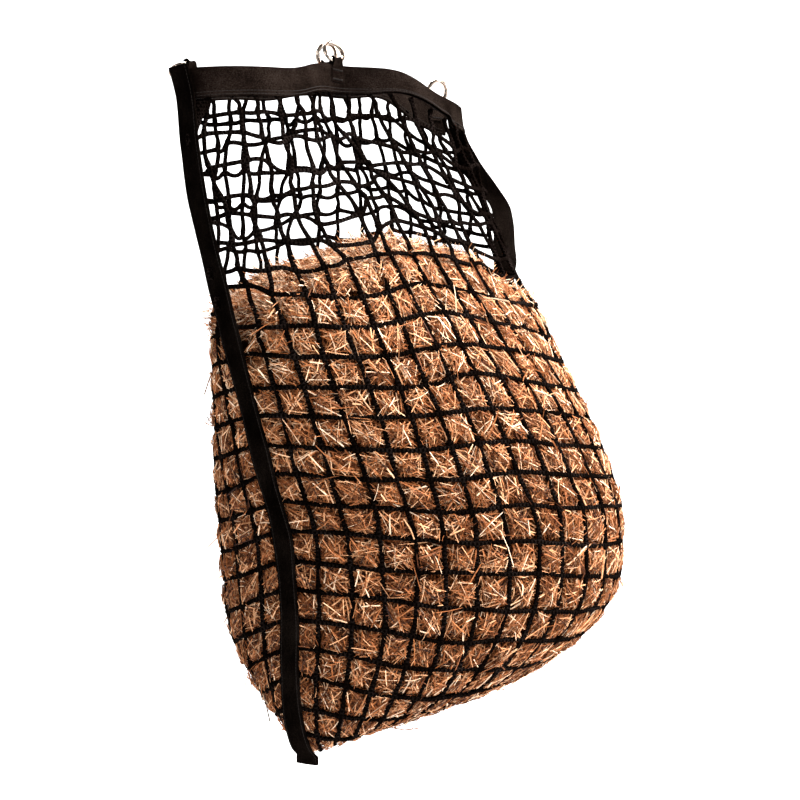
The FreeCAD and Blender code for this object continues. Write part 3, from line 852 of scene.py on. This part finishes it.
BAND_HALF, BAND_SLOT = 3.1, 1.9
for side, word, _ in SIDES:
    top, down, out, wave = rippled_band(side)
    profile = u_profile(BAND_HALF, BAND_SLOT, WEBBING)
    sections = []
    for k in range(len(top)):
        inward, deep = creased(side, top[k, 0], profile[:, 1])
        lean = wave[k] * (profile[:, 1] / WEBBING) - inward
        sections.append(top[k] + out[k] * (profile[:, 0] + lean)[:, None] + down[k] * deep[:, None])
    band = Sweeps()
    band.add(sections)
    band.piece(f"{word}_folded_band", WEBBING_BLACK, slot="webbing")
    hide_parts(f"{word}_mouth_band")


# Below this height the bindings no longer turn with the bag, which closes to its fold.
STEADY_HEIGHT = -850.0


def seam_frames(turn, heights):
    """A seam's points, and the directions across it and out of it."""
    heights = np.asarray(heights, float)
    inside = np.maximum(heights, BOTTOM)
    point = skin(inside, np.full(heights.shape, turn), FRONT)
    point[:, 2] += heights - inside
    steady = np.maximum(heights, STEADY_HEIGHT)
    zero = 0 * steady
    forward = unit(np.stack([at("front_shift", steady), -at("front_depth", steady), zero], -1))
    backward = unit(np.stack([-at("back_shift", steady), at("back_depth", steady), zero], -1))
    across = unit(forward - backward)
    hand = 1.0 if turn == 0 else -1.0
    return point, across, np.stack([hand * across[:, 1], -hand * across[:, 0], zero], -1)


def flat_profile(width, thickness, crown_size=0.0):
    """A flat strap's section with rounded edges, a little crowned."""
    half, edge = width / 2, thickness / 2
    spread = np.linspace(-half + edge, half - edge, 9)
    bow = crown_size * (1 - (spread / half) ** 2)
    upper = [(u, edge + b) for u, b in zip(spread, bow)]
    lower = [(u, -edge + b) for u, b in zip(spread[::-1], bow[::-1])]
    left = [(-half, -0.35 * edge), (-half, 0.35 * edge)]
    right = [(half, 0.35 * edge), (half, -0.35 * edge)]
    return np.array(upper + right + lower + left)


BINDING_STEPS = 240
BINDING_RISE, BINDING_TAIL = 4.0, 11.0
BINDING_THICK, BINDING_CROWN = 3.0, 1.5
# The bindings stand off the seam, less above this height, where the bag is flat, and widen at the tail.
BINDING_LIFT, TOP_SINK, TOP_HEIGHT = 5.5, 3.5, -150.0
TAIL_WIDENING, TAIL_HEIGHT, EASE = 0.25, -840.0, 60.0
# Where the right binding has come loose and turned edge outwards: distance below the hook,
# how far its outer edge stands off the seam, and how far it has turned and spread.
LOOSE_LENGTH = ((0.0, 0.0, 0.0), (114.0, 0.0, 0.0), (138.0, 10.0, 0.6), (190.0, 62.0, 1.0),
                (218.0, 55.0, 1.0), (250.0, 41.0, 0.95), (272.0, 33.0, 0.8), (298.0, 3.0, 0.2),
                (325.0, 0.0, 0.0), (1000.0, 0.0, 0.0))

# The left binding lies flatter and wider down to the hay's top: distance down, share of its width.
LEFT_SPREAD = ((0.0, 1.42), (130.0, 1.35), (230.0, 1.42), (340.0, 1.25), (460.0, 1.05), (1000.0, 1.0))


def smooth_line(values, reach):
    kernel = np.hanning(reach + 2)[1:-1]
    padded = np.pad(values, reach // 2, mode="edge")
    return np.convolve(padded, kernel / kernel.sum(), mode="valid")


def binding_frames(word):
    """A binding's middle line, the directions across and out of it, and its width."""
    turn = 0.0 if word == "left" else math.pi
    rng = np.random.default_rng(60 + int(turn))
    seam_x = float(skin(np.array(MOUTH_HEIGHT), np.array(turn), FRONT)[0])
    top = mouth_line(seam_x, FRONT) + BINDING_RISE + float(at("tilt", MOUTH_HEIGHT)) / 2 * math.cos(turn)
    heights = np.linspace(top, BOTTOM - BINDING_TAIL, BINDING_STEPS)
    point, across, out = seam_frames(turn, heights)
    twist, spread, stand = np.zeros(BINDING_STEPS), np.zeros(BINDING_STEPS), np.zeros(BINDING_STEPS)
    wide = np.full(BINDING_STEPS, BINDING_WIDE)
    if word == "right":
        levels, stands, spreads = np.array(LOOSE_LENGTH).T
        stand = smooth_line(np.interp(-heights, levels, stands), 9)
        spread = smooth_line(np.interp(-heights, levels, spreads), 9)
        twist = 1.3 * spread
        wide = wide + (WEBBING - BINDING_WIDE) * spread
    else:
        wide = wide * np.interp(-heights, *np.array(LEFT_SPREAD).T)
    wide = wide * (1 + TAIL_WIDENING * np.clip((TAIL_HEIGHT - heights) / EASE, 0, 1))
    wide = wide + ripple(rng, BINDING_STEPS, 1.3, 3)
    lift = BINDING_LIFT - TOP_SINK * np.clip((heights - TOP_HEIGHT) / EASE, 0, 1)
    lift = lift + ripple(rng, BINDING_STEPS, 1.0, 8) + stand - np.sin(twist) * wide / 2
    middle = point + out * lift[:, None]
    turned_across = across * np.cos(twist)[:, None] + out * np.sin(twist)[:, None]
    turned_out = out * np.cos(twist)[:, None] - across * np.sin(twist)[:, None]
    return middle, turned_across, turned_out, wide


for word in ("left", "right"):
    middle, across, out, wide = binding_frames(word)
    sections = []
    for k in range(BINDING_STEPS):
        profile = flat_profile(wide[k], BINDING_THICK, BINDING_CROWN)
        sections.append(middle[k] + across[k] * profile[:, :1] + out[k] * profile[:, 1:])
    binding = Sweeps()
    binding.add(sections)
    binding.piece(f"{word}_edge_binding", BINDING_SHADED_WEBBING, slot="webbing")
    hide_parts(f"{word}_side_binding")

# ---------------------------------------------------------------- rings and tabs
RING_WIRE, RING_ROOM = 6.0, 0.5
TACK_HIGH, TACK_LOW, TACK_ZIGZAG, TACK_THREAD = 13.0, 3.5, 1.1, 0.32
TAB_LEG, TAB_WIDE, TAB_WAIST, TAB_THICK = 29.0, 20.0, 12.5, 1.6
JOINTS = {joint["child"]: joint for joint in frame["joints"]}
TACKS = Tubes(6)


def tab(place):
    """A webbing loop around the ring's wire, gathered there, with its legs sewn to the band."""
    joint = JOINTS[f"{place}_ring"]
    pivot = np.array(joint["pos_m"]) / MM
    along_axis = np.array(joint["axis"], float)
    outward = np.cross((0.0, 0.0, 1.0), along_axis)
    up = np.array((0.0, 0.0, 1.0))
    loop, leg = RING_WIRE / 2 + RING_ROOM + TAB_THICK / 2, 3.4 + TAB_THICK / 2
    arc = np.linspace(0, math.pi, 13)
    path = [(-leg, -TAB_LEG), (-leg, -20.0), (-leg, -12.0), (-leg - 0.1, -7.0)]
    path += [(-loop * math.cos(a), loop * math.sin(a)) for a in arc]
    path += [(leg + 0.1, -7.0), (leg, -12.0), (leg, -20.0), (leg, -TAB_LEG)]
    path = np.array(path)
    lines = pivot + outward * path[:, :1] + up * path[:, 1:]
    tangent = unit(np.gradient(lines, axis=0))
    facing = unit(np.cross(tangent, along_axis))
    sections = []
    for k in range(len(path)):
        gather = float(np.clip((path[k, 1] + 13.0) / 11.0, 0, 1))
        gather = gather * gather * (3 - 2 * gather)
        wide = TAB_WIDE + (TAB_WAIST - TAB_WIDE) * gather
        profile = flat_profile(wide, TAB_THICK)
        cup = 2.2 * gather * (profile[:, 0] / (TAB_WAIST / 2)) ** 2
        sections.append(lines[k] + along_axis * profile[:, :1] - facing[k] * (profile[:, 1] + cup)[:, None])
    made = Sweeps()
    made.add(sections)
    piece = made.piece(f"{place}_ring_tab", WEBBING_BLACK, slot="webbing")
    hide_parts(f"{place}_tab")
    for face in (-1.0, 1.0):
        for drop in (TACK_HIGH, TAB_LEG - TACK_LOW):
            steps = np.linspace(0, 1, 61)
            x = (steps - 0.5) * (TAB_WIDE - 4.0)
            z = -drop + TACK_ZIGZAG * np.where(np.arange(61) % 2 == 0, 1, -1)
            line = (pivot + np.outer(x, along_axis) + np.outer(z, up)
                    + outward * face * (leg + TAB_THICK / 2 + 0.25))
            TACKS.add(line, np.tile(outward * face, (61, 1)), TACK_THREAD, TACK_THREAD)


for place in ("front_centre", "back_centre", "back_left", "back_right"):
    tab(place)
    ring = bpy.data.objects[f"{place}_ring"]
    ring.data.materials.clear()
    ring.data.materials.append(CHROME)
tacks = TACKS.piece("bar_tack_threads", THREAD, slot="thread")
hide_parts("tab_bar_tacks")

# ---------------------------------------------------------------- stitching
STITCH, STITCH_GAP = 3.4, 1.1
BAND_ROWS, BINDING_ROW = (2.5, 6.5), 3.2


def stitch_row(tubes, path, normals):
    """A run of short stitches on a path."""
    run = cumulative(path)
    start = 2.0
    while start + STITCH < run[-1] - 2.0:
        at_run = start + STITCH * np.array([0.0, 0.2, 0.5, 0.8, 1.0])
        line = along(path, run, at_run)
        facing = along(normals, run, at_run)
        line = line + facing * np.array([-0.25, 0.12, 0.25, 0.12, -0.25])[:, None]
        tubes.add(line, facing, 0.42, 0.34)
        start += STITCH + STITCH_GAP


for side, word, _ in SIDES:
    thread = Tubes(6)
    top, down, out, wave = rippled_band(side)
    for face in (-1.0, 1.0):
        for drop in (WEBBING - row for row in BAND_ROWS):
            inward, deep = creased(side, top[:, 0], np.full(len(top), drop))
            shift = wave * (drop / WEBBING) - inward
            line = top + down * deep[:, None] + out * (face * (BAND_HALF + 0.05) + shift)[:, None]
            stitch_row(thread, line, out * face)
    thread.piece(f"{word}_band_stitching", THREAD, slot="thread")

for word in ("left", "right"):
    thread = Tubes(6)
    middle, across, out, wide = binding_frames(word)
    for edge in (-1.0, 1.0):
        place = edge * (wide / 2 - BINDING_ROW)
        lift = BINDING_THICK / 2 + 0.1 + BINDING_CROWN * (1 - (place / (wide / 2)) ** 2)
        stitch_row(thread, middle + across * place[:, None] + out * lift[:, None], out)
    thread.piece(f"{word}_binding_stitching", THREAD, slot="thread")

# ---------------------------------------------------------------- stage, light and camera
FLOOR = -1.6
VIEW = math.radians(38.0)
AHEAD = np.array((math.sin(VIEW), math.cos(VIEW), 0.0))
ASIDE = np.array((math.cos(VIEW), -math.sin(VIEW), 0.0))


def plain(name, colour, roughness):
    made, nodes, links, shader = material(name)
    tone = ramp(nodes, [(0.0, tuple(c * 0.985 for c in colour)), (1.0, colour)])
    links.new(noise(nodes, links, 3.0, 2.0, place_of(nodes)), tone.inputs[0])
    links.new(tone.outputs[0], shader.inputs["Base Color"])
    shader.inputs["Roughness"].default_value = roughness
    return made


def backdrop():
    """A pale floor that sweeps up into a wall behind the object."""
    curve = [(-9.0, 0.0), (5.0, 0.0)]
    curve += [(5.0 + 2.0 * math.sin(a), 2.0 - 2.0 * math.cos(a)) for a in np.linspace(0.1, math.pi / 2, 12)]
    curve += [(7.0, 9.0)]
    points, faces = [], []
    for depth, height in curve:
        for side in (-14.0, 14.0):
            flat = AHEAD * depth + ASIDE * side
            points.append((flat[0], flat[1], FLOOR + height))
    for k in range(len(curve) - 1):
        faces.append((2 * k, 2 * k + 1, 2 * k + 3, 2 * k + 2))
    mesh = bpy.data.meshes.new("studio_floor")
    mesh.from_pydata(points, [], faces)
    mesh.materials.append(plain("studio_white", (0.93, 0.93, 0.93), 0.9))
    mesh.polygons.foreach_set("use_smooth", [True] * len(faces))
    floor = bpy.data.objects.new("studio_floor", mesh)
    bpy.context.scene.collection.objects.link(floor)


def light(name, place, target, size, power, colour=(1.0, 1.0, 1.0)):
    data = bpy.data.lights.new(name, "AREA")
    data.shape, data.size, data.energy, data.color = "SQUARE", size, power, colour
    lamp = bpy.data.objects.new(name, data)
    bpy.context.scene.collection.objects.link(lamp)
    place, target = np.array(place), np.array(target)
    lamp.location = place
    from_lamp = target - place
    yaw = math.atan2(from_lamp[1], from_lamp[0]) - math.pi / 2
    flat = math.hypot(from_lamp[0], from_lamp[1])
    lamp.rotation_euler = (math.atan2(flat, -from_lamp[2]), 0.0, yaw)


backdrop()
camera = bpy.data.objects.new("camera", bpy.data.cameras.new("camera"))
camera.data.sensor_width = 36.0
camera.data.lens = 51.75
camera.data.clip_end = 60.0
camera.location = tuple(AHEAD * -1.55 + ASIDE * 0.094 + np.array((0.0, 0.0, -0.478)))
camera.rotation_euler = (math.pi / 2, 0.0, -VIEW)
bpy.context.scene.collection.objects.link(camera)
bpy.context.scene.camera = camera

MIDDLE = np.array((0.07, -0.03, -0.55))
FLOOR_SPOT = (0, 0, -0.6)
WARM, WARMER = (1.0, 0.97, 0.95), (1.0, 0.96, 0.92)


def from_middle(aside, ahead, up):
    return MIDDLE + ASIDE * aside + AHEAD * ahead + (0, 0, up)


light("key", from_middle(1.65, -0.85, 1.65), MIDDLE + (0, 0, 0.15), 0.6, 212.0, WARMER)
light("side", from_middle(2.4, -0.1, 0.5), MIDDLE, 0.9, 85.0, WARM)
light("fill", from_middle(-2.2, -1.8, 0.4), MIDDLE, 1.4, 26.0)
light("top", from_middle(0.0, 0.1, 2.2), MIDDLE, 1.0, 110.0)
for word, hand in (("left", -1.0), ("right", 1.0)):
    light(f"floor_{word}", AHEAD * 3.0 + ASIDE * 3.0 * hand + (0, 0, 3.5),
          AHEAD * 5.5 + ASIDE * hand + FLOOR_SPOT, 3.0, 420.0)
world = bpy.data.worlds.new("studio")
world.use_nodes = True
world.node_tree.nodes["Background"].inputs["Color"].default_value = (1.0, 1.0, 1.0, 1.0)
world.node_tree.nodes["Background"].inputs["Strength"].default_value = 0.18
bpy.context.scene.world = world
bpy.context.scene.view_settings.view_transform = "Standard"
